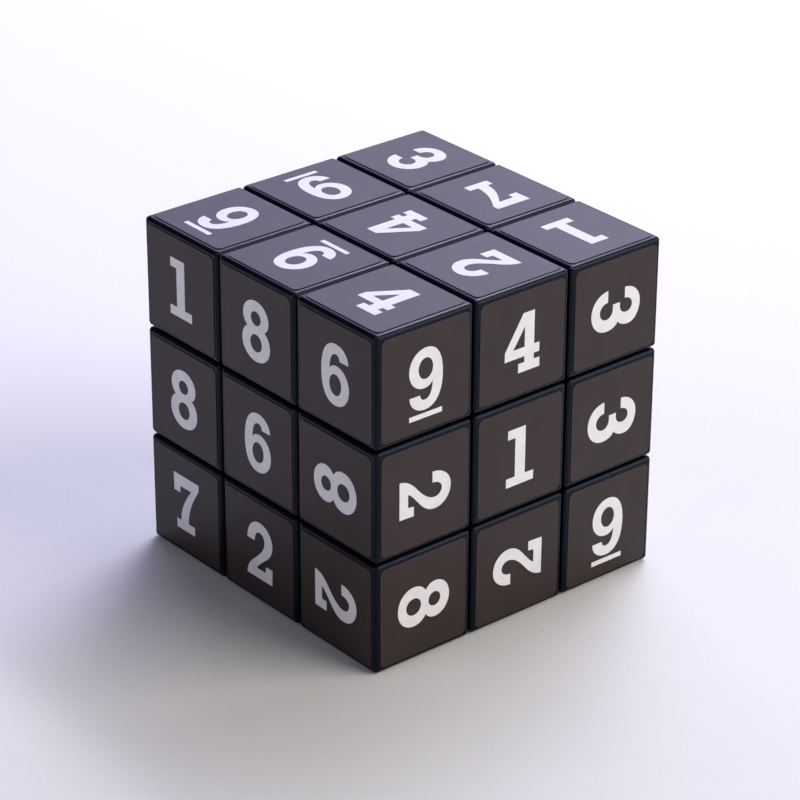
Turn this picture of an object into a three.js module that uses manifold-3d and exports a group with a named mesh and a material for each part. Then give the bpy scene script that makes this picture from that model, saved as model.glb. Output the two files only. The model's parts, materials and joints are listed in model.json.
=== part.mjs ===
// Sudoku cube: a 3 x 3 x 3 turning puzzle whose 54 squares carry digits.
//
// A six-armed core carries six sprung centres. Each centre is a hub that a screw and a spring hold to its arm,
// closed by a cap. Twelve edges and eight corners hang between the centres. Their feet share one spherical
// shell round the core, and reach under the neighbouring pieces there. Every boundary between a face layer and
// the rest of the cube is a surface of revolution about that face's axis, so all six faces turn.
// Millimetres, +Z up, front face towards -Y, standing on the bottom face.

import * as THREE from 'three';
import { RoundedBoxGeometry } from 'three/addons/geometries/RoundedBoxGeometry.js';
import { mergeVertices } from 'three/addons/utils/BufferGeometryUtils.js';
import Module from 'manifold-3d';

// Cube and its squares
const CUBE_EDGE = 57; // across two opposite faces
const RUNNING_GAP = 0.3; // between neighbouring pieces
const EDGE_ROUND = 0.7; // fillet along the outer edges of each piece
const WALL = 1.6; // moulded wall of the hollow pieces

// Screws, springs and the stalks that they sit in, from the screw outwards
const SHANK_RADIUS = 1.25;
const SHANK_CLEARANCE = 0.95; // from the shank to the inside of the spring
const WIRE_RADIUS = 0.35;
const SPRING_TURNS = 5;
const END_COIL_GAP = 0.5; // between the first two turns of the wire, and the last two
const POCKET_CLEARANCE = 0.3; // from the spring to its pocket in the stalk
const STALK_WALL = 2.7;
const HOLE_CLEARANCE = 0.3; // from the shank to the hole in the stalk's floor
const STALK_FLOOR = 1.8; // thickness of the floor that the spring stands on
const SPRING_SEAT_GAP = 0.15; // at each end of the spring
const HEAD_HEIGHT = 1.8;
const HEAD_DOME = 0.8; // part of the head's height that is domed
const HEAD_ROOM = 1.2; // from the screw head to the cap
const RECESS_WIDTH = 0.7; // cross recess in the screw head
const RECESS_DEPTH = 0.9;
const POINT_LENGTH = 1.2; // conical end of the screw

// Core
const CORE_RADIUS = 7.5; // ball
const ARM_LENGTH = 2.7; // that stands out of the ball
const ARM_WALL = 2.4; // round the screw
const BORE_CLEARANCE = 0.15;
const THREAD_LENGTH = 5; // of the screw inside its arm
const BORE_SPARE = 0.5; // bore past the end of the screw
const SEAT_GAP = 0.3; // from an arm's end to its stalk

// Feet of the edges and corners, in a spherical shell round the core
const NECK_RISE = 4.5; // of the shell past the corner pieces' inmost points
const SHELL_GAP = 0.5; // from a foot to the underside of its neighbour
const FOOT_STANDOFF = 6; // from the core's ball to the feet
const VENT_RADIUS = 1.2; // core pin hole that opens each hollow piece towards the core

// Caps of the centres
const CAP_THICKNESS = 2.2;
const CAP_SEAM = 0.1; // between a cap and its hub
const LIP_DEPTH = 2; // of the lip that locates the cap in its hub
const LIP_WALL = 1.2;
const LIP_CLEARANCE = 0.2;

// Facets
const ROUND_STEPS = 1; // subdivisions of each filleted edge
const SHELL_SEGMENTS = 24;
const CORE_SEGMENTS = 20;
const ARM_SEGMENTS = 16;
const STALK_SEGMENTS = 20;
const SCREW_SEGMENTS = 12;
const DOME_STEPS = 3;
const VENT_SEGMENTS = 8;
const CURL_STEPS = 8;
const WIRE_SIDES = 5;

// Places that follow from those sizes
const HALF = CUBE_EDGE / 2;
const SQUARE = (CUBE_EDGE - 2 * RUNNING_GAP) / 3; // edge of one piece
const PITCH = SQUARE + RUNNING_GAP; // between the middles of neighbouring pieces
const CUT = PITCH / 2; // from the middle of the cube to a layer boundary
const SPRING_RADIUS = SHANK_RADIUS + SHANK_CLEARANCE + 2 * WIRE_RADIUS; // outside
const POCKET_RADIUS = SPRING_RADIUS + POCKET_CLEARANCE;
const STALK_RADIUS = POCKET_RADIUS + STALK_WALL;
const FOOT_CUT = STALK_RADIUS + RUNNING_GAP; // layer boundary inside the shell
const SHELL_RADIUS = CUT * Math.sqrt(3) + NECK_RISE; // outside of the shell
const FOOT_OUTER = SHELL_RADIUS - SHELL_GAP / 2;
const UNDERCUT_RADIUS = SHELL_RADIUS + SHELL_GAP / 2;
const FOOT_INNER = CORE_RADIUS + FOOT_STANDOFF;
const FOOT_FACE = FOOT_CUT + RUNNING_GAP / 2; // flat side of a foot that runs beside a layer boundary
const TONGUE_FACE = FOOT_CUT - RUNNING_GAP / 2; // flat side of an edge's tongue towards the corners
const ARM_TIP = CORE_RADIUS + ARM_LENGTH;
const ARM_RADIUS = SHANK_RADIUS + BORE_CLEARANCE + ARM_WALL;
const STALK_FOOT = ARM_TIP + SEAT_GAP;
const SPRING_FLOOR = STALK_FOOT + STALK_FLOOR;
const SEAM = HALF - CAP_THICKNESS; // underside of a cap
const HEAD_TOP = SEAM - HEAD_ROOM;
const HEAD_SEAT = HEAD_TOP - HEAD_HEIGHT; // underside of a screw head
const SCREW_END = ARM_TIP - THREAD_LENGTH;
const INSIDE = SQUARE / 2 - WALL; // half the width of a hollow
const BEYOND = CUBE_EDGE; // reach of a cutting block past the cube

const Z_AXIS = new THREE.Vector3(0, 0, 1);
const FACES = {
  top: new THREE.Vector3(0, 0, 1),
  bottom: new THREE.Vector3(0, 0, -1),
  front: new THREE.Vector3(0, -1, 0),
  back: new THREE.Vector3(0, 1, 0),
  left: new THREE.Vector3(-1, 0, 0),
  right: new THREE.Vector3(1, 0, 0),
};

const blackPlastic = new THREE.MeshStandardMaterial({ color: 0x111114, roughness: 0.35, metalness: 0 });
const corePlastic = new THREE.MeshStandardMaterial({ color: 0xd9d6cc, roughness: 0.5, metalness: 0 });
const steel = new THREE.MeshStandardMaterial({ color: 0xb4b8bd, roughness: 0.35, metalness: 1 });

const wasm = await Module();
wasm.setup();

/** A closed geometry as a solid that can be joined and cut. */
function toSolid(geometry) {
  const bare = new THREE.BufferGeometry();
  bare.setAttribute('position', geometry.getAttribute('position'));
  bare.setIndex(geometry.getIndex());
  const merged = mergeVertices(bare);
  const index = merged.getIndex().array;
  const triangles = [];
  for (let i = 0; i < index.length; i += 3) {
    const corners = [index[i], index[i + 1], index[i + 2]];
    if (new Set(corners).size === 3) triangles.push(...corners);
  }
  return new wasm.Manifold(new wasm.Mesh({
    numProp: 3,
    vertProperties: new Float32Array(merged.getAttribute('position').array),
    triVerts: new Uint32Array(triangles),
  }));
}

/** A solid as a geometry for a mesh. */
function toGeometry(solid) {
  const mesh = solid.getMesh();
  const geometry = new THREE.BufferGeometry();
  geometry.setAttribute('position', new THREE.BufferAttribute(mesh.vertProperties, 3));
  geometry.setIndex(new THREE.BufferAttribute(mesh.triVerts, 1));
  geometry.computeVertexNormals();
  return geometry;
}

/** A block between two opposite corners. */
function block(low, high) {
  const size = high.map((value, axis) => value - low[axis]);
  const middle = high.map((value, axis) => (value + low[axis]) / 2);
  return toSolid(new THREE.BoxGeometry(...size).translate(...middle));
}

/** A ball round the middle of the cube, with its poles on the Z axis. */
function ball(radius, segments = SHELL_SEGMENTS) {
  return toSolid(new THREE.SphereGeometry(radius, segments, segments / 2).rotateX(Math.PI / 2));
}

/** A round bar along a direction, between two distances from the middle of the cube. */
function bar(radius, from, to, direction, segments) {
  const geometry = new THREE.CylinderGeometry(radius, radius, to - from, segments);
  geometry.translate(0, (from + to) / 2, 0);
  const turn = new THREE.Quaternion().setFromUnitVectors(THREE.Object3D.DEFAULT_UP, direction);
  return toSolid(geometry.applyQuaternion(turn));
}

/** A solid of revolution about the Z axis, from [radius, height] pairs that go up. */
function turned(profile, segments) {
  const points = profile.map(([radius, height]) => new THREE.Vector2(radius, height));
  return toSolid(new THREE.LatheGeometry(points, segments).rotateX(Math.PI / 2));
}

/** The filleted outside of the piece that stands a number of squares from the middle along X, Y and Z. */
function outside(x, y, z) {
  const geometry = new RoundedBoxGeometry(SQUARE, SQUARE, SQUARE, ROUND_STEPS, EDGE_ROUND);
  return toSolid(geometry.translate(x * PITCH, y * PITCH, z * PITCH));
}

/** The hollow of the same piece, which leaves a wall all round and over the shell of the feet. */
function hollow(x, y, z) {
  const middle = [x * PITCH, y * PITCH, z * PITCH];
  const room = block(middle.map((value) => value - INSIDE), middle.map((value) => value + INSIDE));
  return room.subtract(ball(UNDERCUT_RADIUS + WALL));
}

/** The part of the feet's shell that lies in a block. */
function shellPart(low, high) {
  return block(low, high).intersect(ball(FOOT_OUTER)).subtract(ball(FOOT_INNER));
}

/** A corner piece, for the corner at +X +Y +Z. */
function makeCorner() {
  const foot = shellPart([FOOT_FACE, FOOT_FACE, FOOT_FACE], [BEYOND, BEYOND, BEYOND]);
  const inwards = new THREE.Vector3(1, 1, 1).normalize();
  const vent = bar(VENT_RADIUS, 0, PITCH * Math.sqrt(3), inwards, VENT_SEGMENTS);
  return outside(1, 1, 1).add(foot).subtract(hollow(1, 1, 1)).subtract(vent);
}

/** An edge piece, for the edge at +Y +Z that runs along X. */
function makeEdge() {
  const underside = ball(UNDERCUT_RADIUS);
  const neck = block([-TONGUE_FACE, 0, 0], [TONGUE_FACE, BEYOND, BEYOND]);
  const tongue = shellPart([-TONGUE_FACE, FOOT_FACE, FOOT_FACE], [TONGUE_FACE, BEYOND, BEYOND]);
  const inwards = new THREE.Vector3(0, 1, 1).normalize();
  const vent = bar(VENT_RADIUS, 0, PITCH * Math.SQRT2, inwards, VENT_SEGMENTS);
  return outside(0, 1, 1)
    .subtract(underside.subtract(neck))
    .add(tongue)
    .subtract(hollow(0, 1, 1))
    .subtract(vent);
}

/** A centre's hub, for the top face: a tray over the feet, on a stalk that holds the spring. */
function makeHub() {
  const below = block([-BEYOND, -BEYOND, 0], [BEYOND, BEYOND, SEAM - CAP_SEAM]);
  const lipFloor = SEAM - LIP_DEPTH - LIP_CLEARANCE;
  const lipRoom = block([-INSIDE, -INSIDE, lipFloor], [INSIDE, INSIDE, BEYOND]);
  const stalkTop = UNDERCUT_RADIUS + WALL;
  const stalk = bar(STALK_RADIUS, STALK_FOOT, stalkTop, Z_AXIS, STALK_SEGMENTS);
  const pocket = bar(POCKET_RADIUS, SPRING_FLOOR, BEYOND, Z_AXIS, STALK_SEGMENTS);
  const hole = bar(SHANK_RADIUS + HOLE_CLEARANCE, 0, BEYOND, Z_AXIS, SCREW_SEGMENTS);
  return outside(0, 0, 1)
    .subtract(ball(UNDERCUT_RADIUS))
    .subtract(hollow(0, 0, 1))
    .subtract(lipRoom)
    .add(stalk)
    .subtract(pocket)
    .subtract(hole)
    .intersect(below);
}

/** A centre's cap, for the top face: the visible square, with a lip that drops into the hub. */
function makeCap() {
  const lipOuter = INSIDE - LIP_CLEARANCE;
  const lipInner = lipOuter - LIP_WALL;
  const middle = SEAM + CAP_THICKNESS / 2;
  const lip = block([-lipOuter, -lipOuter, SEAM - LIP_DEPTH], [lipOuter, lipOuter, middle]);
  const lipBore = block([-lipInner, -lipInner, 0], [lipInner, lipInner, SEAM]);
  const plate = outside(0, 0, 1).intersect(block([-BEYOND, -BEYOND, SEAM], [BEYOND, BEYOND, BEYOND]));
  return plate.add(lip).subtract(lipBore);
}

/** The screw of the top centre: a point, a shank and a domed head with a cross recess. */
function makeScrew() {
  const domeFoot = HEAD_TOP - HEAD_DOME;
  const dome = [];
  for (let step = 0; step <= DOME_STEPS; step += 1) {
    const angle = (step / DOME_STEPS) * (Math.PI / 2);
    const radius = step === DOME_STEPS ? 0 : SPRING_RADIUS * Math.cos(angle);
    dome.push([radius, domeFoot + HEAD_DOME * Math.sin(angle)]);
  }
  const screw = turned([
    [0, SCREW_END],
    [SHANK_RADIUS, SCREW_END + POINT_LENGTH],
    [SHANK_RADIUS, HEAD_SEAT],
    [SPRING_RADIUS, HEAD_SEAT],
    ...dome,
  ], SCREW_SEGMENTS);
  const recessFloor = HEAD_TOP - RECESS_DEPTH;
  const arm = SPRING_RADIUS / 2;
  const half = RECESS_WIDTH / 2;
  const slot = block([-arm, -half, recessFloor], [arm, half, BEYOND]);
  const crossSlot = block([-half, -arm, recessFloor], [half, arm, BEYOND]);
  return screw.subtract(slot).subtract(crossSlot);
}

/** The middle line of a spring that winds up the Z axis, with one flatter turn at each end. */
class Helix extends THREE.Curve {
  constructor(radius, from, to, turns) {
    super();
    const endPitch = 2 * WIRE_RADIUS + END_COIL_GAP;
    const pitch = (to - from - 2 * endPitch) / (turns - 2);
    Object.assign(this, { radius, from, turns, endPitch, pitch });
  }

  getPoint(t, target = new THREE.Vector3()) {
    const turn = t * this.turns;
    const endTurns = Math.min(turn, 1) + Math.max(turn - this.turns + 1, 0);
    const height = this.from + endTurns * this.endPitch + (turn - endTurns) * this.pitch;
    const angle = turn * 2 * Math.PI;
    return target.set(this.radius * Math.cos(angle), this.radius * Math.sin(angle), height);
  }
}

/** The least gap between one turn of a wound wire and the next, measured on points along its middle line. */
function leastGap(helix) {
  const steps = Math.round(helix.turns * CURL_STEPS);
  const points = helix.getPoints(steps);
  let least = Infinity;
  points.forEach((point, i) => {
    for (const other of points.slice(i + CURL_STEPS / 2)) least = Math.min(least, point.distanceTo(other));
  });
  return least - 2 * WIRE_RADIUS;
}

/** The spring of the top centre, between the stalk's floor and the screw head. */
function makeSpring() {
  const inset = SPRING_SEAT_GAP + WIRE_RADIUS;
  const helix = new Helix(SPRING_RADIUS - WIRE_RADIUS, SPRING_FLOOR + inset, HEAD_SEAT - inset, SPRING_TURNS);
  const round = new THREE.EllipseCurve(0, 0, WIRE_RADIUS, WIRE_RADIUS);
  const wire = new THREE.Shape(round.getPoints(WIRE_SIDES).slice(0, WIRE_SIDES));
  const steps = Math.round(SPRING_TURNS * CURL_STEPS);
  console.log(`least gap between spring turns: ${leastGap(helix).toFixed(2)} mm`);
  return toSolid(new THREE.ExtrudeGeometry(wire, { steps, extrudePath: helix, bevelEnabled: false }));
}

/** The core: a ball with an arm towards each face, bored for its screw. */
function makeCore() {
  let core = ball(CORE_RADIUS, CORE_SEGMENTS);
  for (const direction of Object.values(FACES)) {
    core = core.add(bar(ARM_RADIUS, 0, ARM_TIP, direction, ARM_SEGMENTS));
  }
  const boreEnd = SCREW_END - BORE_SPARE;
  for (const direction of Object.values(FACES)) {
    core = core.subtract(bar(SHANK_RADIUS + BORE_CLEARANCE, boreEnd, BEYOND, direction, SCREW_SEGMENTS));
  }
  return core;
}

/** A named mesh whose own X, Y and Z axes point along three directions. */
function place(name, geometry, material, axes) {
  const mesh = new THREE.Mesh(geometry, material);
  mesh.name = name;
  if (axes) mesh.quaternion.setFromRotationMatrix(new THREE.Matrix4().makeBasis(...axes));
  return mesh;
}

const cube = new THREE.Group();
cube.position.z = HALF;
cube.add(place('core', toGeometry(makeCore()), corePlastic));

// One centre for each face
const hub = toGeometry(makeHub());
const cap = toGeometry(makeCap());
const screw = toGeometry(makeScrew());
const spring = toGeometry(makeSpring());
for (const [face, direction] of Object.entries(FACES)) {
  const centre = new THREE.Group();
  centre.quaternion.setFromUnitVectors(Z_AXIS, direction);
  centre.add(
    place(`hub_${face}`, hub, blackPlastic),
    place(`cap_${face}`, cap, blackPlastic),
    place(`screw_${face}`, screw, steel),
    place(`spring_${face}`, spring, steel),
  );
  cube.add(centre);
}

// One edge for each two faces that meet
const edge = toGeometry(makeEdge());
const faces = Object.entries(FACES);
faces.forEach(([name, direction], i) => {
  for (const [otherName, other] of faces.slice(i + 1)) {
    if (direction.dot(other) !== 0) continue;
    const along = new THREE.Vector3().crossVectors(direction, other);
    cube.add(place(`edge_${name}_${otherName}`, edge, blackPlastic, [along, direction, other]));
  }
});

// One corner for each three faces that meet
const corner = toGeometry(makeCorner());
for (const upright of ['top', 'bottom']) {
  for (const depth of ['front', 'back']) {
    for (const side of ['left', 'right']) {
      const axes = [FACES[side], FACES[depth], FACES[upright]];
      const handed = new THREE.Vector3().crossVectors(axes[0], axes[1]).dot(axes[2]);
      if (handed < 0) axes.reverse();
      cube.add(place(`corner_${upright}_${depth}_${side}`, corner, blackPlastic, axes));
    }
  }
}

export default cube;
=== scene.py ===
"""Dresses a turning number cube: rounded mouldings, vinyl stickers, printed digits and coil springs."""

import json
import logging
import math
import random
from dataclasses import dataclass
from enum import Enum

import bmesh
import bpy
from mathutils import Matrix, Vector

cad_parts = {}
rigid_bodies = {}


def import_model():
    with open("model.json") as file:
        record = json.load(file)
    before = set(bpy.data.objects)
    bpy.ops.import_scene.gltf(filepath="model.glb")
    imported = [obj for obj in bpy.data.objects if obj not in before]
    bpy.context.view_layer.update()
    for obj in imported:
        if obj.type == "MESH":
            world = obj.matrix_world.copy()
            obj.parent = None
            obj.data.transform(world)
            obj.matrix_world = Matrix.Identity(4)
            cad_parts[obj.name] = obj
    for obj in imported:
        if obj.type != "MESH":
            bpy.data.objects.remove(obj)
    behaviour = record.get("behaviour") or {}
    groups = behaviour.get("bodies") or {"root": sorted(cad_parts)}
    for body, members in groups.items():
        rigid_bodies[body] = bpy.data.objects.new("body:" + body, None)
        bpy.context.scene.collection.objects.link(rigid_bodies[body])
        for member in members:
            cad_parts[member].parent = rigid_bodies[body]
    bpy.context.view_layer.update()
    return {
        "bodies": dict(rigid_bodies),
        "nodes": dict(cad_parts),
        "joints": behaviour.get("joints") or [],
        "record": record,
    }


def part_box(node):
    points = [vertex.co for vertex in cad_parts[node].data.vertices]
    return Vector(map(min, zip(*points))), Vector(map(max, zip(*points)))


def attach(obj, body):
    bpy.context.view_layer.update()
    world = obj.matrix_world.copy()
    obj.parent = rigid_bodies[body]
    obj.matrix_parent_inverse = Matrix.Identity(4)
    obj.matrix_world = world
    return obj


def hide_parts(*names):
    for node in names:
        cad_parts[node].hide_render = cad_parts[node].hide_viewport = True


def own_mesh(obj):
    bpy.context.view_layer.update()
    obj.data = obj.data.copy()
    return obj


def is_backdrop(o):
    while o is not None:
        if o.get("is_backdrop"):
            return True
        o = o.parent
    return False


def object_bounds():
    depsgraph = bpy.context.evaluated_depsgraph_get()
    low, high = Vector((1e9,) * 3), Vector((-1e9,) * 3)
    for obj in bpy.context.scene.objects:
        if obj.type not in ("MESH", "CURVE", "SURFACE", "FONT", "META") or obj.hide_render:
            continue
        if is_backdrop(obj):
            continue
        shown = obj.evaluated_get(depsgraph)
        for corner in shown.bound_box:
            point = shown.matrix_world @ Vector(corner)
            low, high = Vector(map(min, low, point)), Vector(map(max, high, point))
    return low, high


LOG = logging.getLogger("number_cube")
MM = 0.001
# Points closer together than this are one point, in metres.
MERGE = 1e-6
NOISE_MEAN = 0.5

Band = tuple[float, float]
Triple = tuple[float, float, float]
Colour = tuple[float, float, float, float]
NO_LIGHT: Colour = (0.0, 0.0, 0.0, 1.0)


class Signal:
    """A node's output that takes part in Python arithmetic."""

    def __init__(self, desk: "NodeDesk", socket: bpy.types.NodeSocket) -> None:
        """Keeps the socket, and the desk that new Math nodes go on."""
        self.desk = desk
        self.socket = socket

    def _maths(self, operation: str, *terms: "Signal | float") -> "Signal":
        """Adds one Math node.

        Args:
            operation: What the node works out.
            terms: Its inputs, in order.

        Returns:
            The node's result.
        """
        return self.desk.out("ShaderNodeMath", {"operation": operation}, dict(enumerate(terms)))

    def __add__(self, other: "Signal | float") -> "Signal":
        """This plus the other."""
        return self._maths("ADD", self, other)

    def __radd__(self, other: float) -> "Signal":
        """The other plus this."""
        return self._maths("ADD", other, self)

    def __sub__(self, other: "Signal | float") -> "Signal":
        """This less the other."""
        return self._maths("SUBTRACT", self, other)

    def __rsub__(self, other: float) -> "Signal":
        """The other less this."""
        return self._maths("SUBTRACT", other, self)

    def __mul__(self, other: "Signal | float") -> "Signal":
        """This times the other."""
        return self._maths("MULTIPLY", self, other)

    def __rmul__(self, other: float) -> "Signal":
        """The other times this."""
        return self._maths("MULTIPLY", other, self)

    def __truediv__(self, other: "Signal | float") -> "Signal":
        """This over the other."""
        return self._maths("DIVIDE", self, other)

    def __rtruediv__(self, other: float) -> "Signal":
        """The other over this."""
        return self._maths("DIVIDE", other, self)

    def __abs__(self) -> "Signal":
        """This without its sign."""
        return self._maths("ABSOLUTE", self)

    def cosine(self) -> "Signal":
        """The cosine of this angle."""
        return self._maths("COSINE", self)

    def sine(self) -> "Signal":
        """The sine of this angle."""
        return self._maths("SINE", self)

    def larger(self, other: "Signal | float") -> "Signal":
        """The larger of the two."""
        return self._maths("MAXIMUM", self, other)

    def smaller(self, other: "Signal | float") -> "Signal":
        """The smaller of the two."""
        return self._maths("MINIMUM", self, other)

    def wrapped(self, reach: float) -> "Signal":
        """This brought between minus and plus reach by whole steps of twice the reach."""
        return self._maths("WRAP", self, reach, -reach)

    def rise(self, start: float, end: float) -> "Signal":
        """Climbs smoothly from 0 where this is start to 1 where it is end."""
        sockets = {"Value": self, "From Min": start, "From Max": end}
        return self.desk.out("ShaderNodeMapRange", {"interpolation_type": "SMOOTHSTEP"}, sockets)


class NodeDesk:
    """A node tree with one way to add a node, for materials and geometry alike."""

    def __init__(self, tree: bpy.types.NodeTree) -> None:
        """Keeps the tree."""
        self.tree = tree

    def node(
        self,
        kind: str,
        settings: dict[str, object] | None = None,
        sockets: dict[str | int, object] | None = None,
    ) -> bpy.types.Node:
        """Adds a node.

        Args:
            kind: Blender's name for the node's type.
            settings: The node's own options, set first.
            sockets: What its inputs get, a value or a link, by name or number.

        Returns:
            The node.
        """
        made = self.tree.nodes.new(kind)
        for name, value in (settings or {}).items():
            setattr(made, name, value)
        for name, value in (sockets or {}).items():
            self.feed(made.inputs[name], value)
        return made

    def feed(self, socket: bpy.types.NodeSocket, value: object) -> None:
        """Links a signal to a socket, or sets a plain value on it.

        Args:
            socket: The input.
            value: What it gets.
        """
        if isinstance(value, Signal):
            self.tree.links.new(value.socket, socket)
        else:
            socket.default_value = value

    def out(
        self,
        kind: str,
        settings: dict[str, object] | None = None,
        sockets: dict[str | int, object] | None = None,
        output: str | int = 0,
    ) -> Signal:
        """Adds a node and takes one of its outputs.

        Args:
            kind: Blender's name for the node's type.
            settings: The node's own options.
            sockets: What its inputs get.
            output: The name or number of the output.

        Returns:
            That output.
        """
        return Signal(self, self.node(kind, settings, sockets).outputs[output])

    def tint(self, mask: Signal | float, under: Signal | Colour, over: Signal | Colour) -> Signal:
        """Lays one colour over another.

        Args:
            mask: How much of the upper colour shows.
            under: The lower colour.
            over: The upper colour.

        Returns:
            The mixed colour.
        """
        return self.out("ShaderNodeMix", {"data_type": "RGBA"}, {0: mask, 6: under, 7: over}, 2)


@dataclass(frozen=True)
class CubeGrid:
    """Where the squares of the cube lie, read from the frame."""

    centre: Vector
    half: float
    square: float
    pitch: float

    @classmethod
    def from_frame(cls) -> "CubeGrid":
        """Measures the cube and its middle square.

        Returns:
            The grid.
        """
        low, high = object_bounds()
        cap_low, cap_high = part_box("cap_top")
        edge = high.x - low.x
        square = cap_high.x - cap_low.x
        return cls((low + high) / 2, edge / 2, square, (edge - square) / 2)


class ShaderDesk(NodeDesk):
    """The nodes of one material, with the textures that the finishes share."""

    SPECK_CORE = 0.6

    def __init__(self, name: str) -> None:
        """Starts an empty material that reads Object coordinates.

        Args:
            name: The material's name.
        """
        self.material = bpy.data.materials.new(name)
        self.material.use_nodes = True
        super().__init__(self.material.node_tree)
        self.tree.nodes.clear()
        self.where = self.out("ShaderNodeTexCoord", output="Object")

    def noise(self, size: float, detail: float = 2.0, stretch: Triple | None = None) -> Signal:
        """Soft random values.

        Args:
            size: Width of one patch, in metres.
            detail: How many finer layers are added.
            stretch: Scale along each axis, for streaks.

        Returns:
            Values about 0.5.
        """
        vector = self.where
        if stretch:
            vector = self.out("ShaderNodeMapping", None, {"Vector": vector, "Scale": stretch})
        sockets = {"Vector": vector, "Scale": 1 / size, "Detail": detail}
        return self.out("ShaderNodeTexNoise", None, sockets, "Fac")

    def specks(self, spacing: float, radius: float) -> Signal:
        """Scattered round dots, 1 inside a dot.

        Args:
            spacing: Mean distance between neighbouring dots, in metres.
            radius: Radius of the largest dots, in metres.

        Returns:
            The dots' mask.
        """
        sockets = {"Vector": self.where, "Scale": 1 / spacing}
        cells = self.node("ShaderNodeTexVoronoi", {"feature": "F1"}, sockets)
        distance = Signal(self, cells.outputs["Distance"])
        red = self.out("ShaderNodeSeparateColor", None, {"Color": Signal(self, cells.outputs["Color"])})
        reach = radius / spacing
        return (distance + reach * (1 - red)).rise(reach, reach * self.SPECK_CORE)

    def near_edges(self, grid: CubeGrid, start: float, end: float) -> Signal:
        """Marks what lies close to the edges of a square.

        Args:
            grid: The cube's squares.
            start: Distance from the square's middle where the mark begins, in metres.
            end: Distance where it is full.

        Returns:
            0 on the flats, 1 at the edges.
        """
        centred = self.out(
            "ShaderNodeVectorMath", {"operation": "SUBTRACT"}, {0: self.where, 1: tuple(grid.centre)}
        )
        split = self.node("ShaderNodeSeparateXYZ", None, {0: centred})
        x, y, z = (abs(Signal(self, axis).wrapped(grid.pitch / 2)) for axis in split.outputs)
        second = x + y + z - x.larger(y).larger(z) - x.smaller(y).smaller(z)
        return second.rise(start, end)

    def relief(self, height: Signal, depth: float) -> Signal:
        """Turns heights from 0 to 1 into a bumpy surface.

        Args:
            height: The heights.
            depth: What a height of 1 stands for, in metres.

        Returns:
            The surface's normal.
        """
        return self.out("ShaderNodeBump", None, {"Height": height, "Distance": depth, "Strength": 1.0})

    def finish(self, sockets: dict[str, object]) -> bpy.types.Material:
        """Ends the material in one surface shader.

        Args:
            sockets: What the shader's inputs get.

        Returns:
            The material.
        """
        surface = self.out("ShaderNodeBsdfPrincipled", None, sockets)
        self.node("ShaderNodeOutputMaterial", None, {"Surface": surface})
        return self.material


@dataclass(frozen=True)
class MouldedPlastic:
    """Satin moulded plastic with a faint peel, a fine grain, handling streaks, dust and dull rubbed edges."""

    name: str
    colour: Colour
    rubbed: Colour
    roughness: float
    shine: float
    sheen: Colour
    dust: Colour = (0.3, 0.31, 0.34, 1.0)
    dust_spacing: float = 3.6 * MM
    dust_radius: float = 0.08 * MM
    dust_cover: float = 0.35
    peel_size: float = 1.1 * MM
    peel_depth: float = 0.9e-6
    grain_size: float = 0.16 * MM
    grain_depth: float = 0.5e-6
    patch_size: float = 7 * MM
    patch_matt: float = 0.08
    streak_size: float = 0.5 * MM
    streak_stretch: Triple = (1.0, 0.12, 0.5)
    streak_band: Band = (0.62, 0.78)
    streak_matt: float = 0.06
    edge_band: Band = (8.5 * MM, 9.3 * MM)
    wear_size: float = 0.8 * MM
    wear_band: Band = (0.35, 0.8)
    wear_matt: float = 0.06

    def make(self, grid: CubeGrid) -> bpy.types.Material:
        """Builds the material.

        Args:
            grid: The cube's squares, whose edges are rubbed.

        Returns:
            The material.
        """
        desk = ShaderDesk(self.name)
        patches = desk.noise(self.patch_size, detail=3.0)
        streaks = desk.noise(self.streak_size, 1.0, self.streak_stretch).rise(*self.streak_band)
        chafed = desk.noise(self.wear_size, detail=3.0).rise(*self.wear_band)
        worn = desk.near_edges(grid, *self.edge_band) * chafed
        specks = desk.specks(self.dust_spacing, self.dust_radius) * self.dust_cover
        grain = (self.grain_depth / self.peel_depth) * desk.noise(self.grain_size)
        matt = self.roughness + self.patch_matt * (patches - NOISE_MEAN)
        return desk.finish({
            "Base Color": desk.tint(specks, desk.tint(worn, self.colour, self.rubbed), self.dust),
            "Specular IOR Level": self.shine,
            "Specular Tint": self.sheen,
            "Roughness": matt + self.streak_matt * streaks + self.wear_matt * worn,
            "Normal": desk.relief(desk.noise(self.peel_size) + grain, self.peel_depth),
        })


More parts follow.
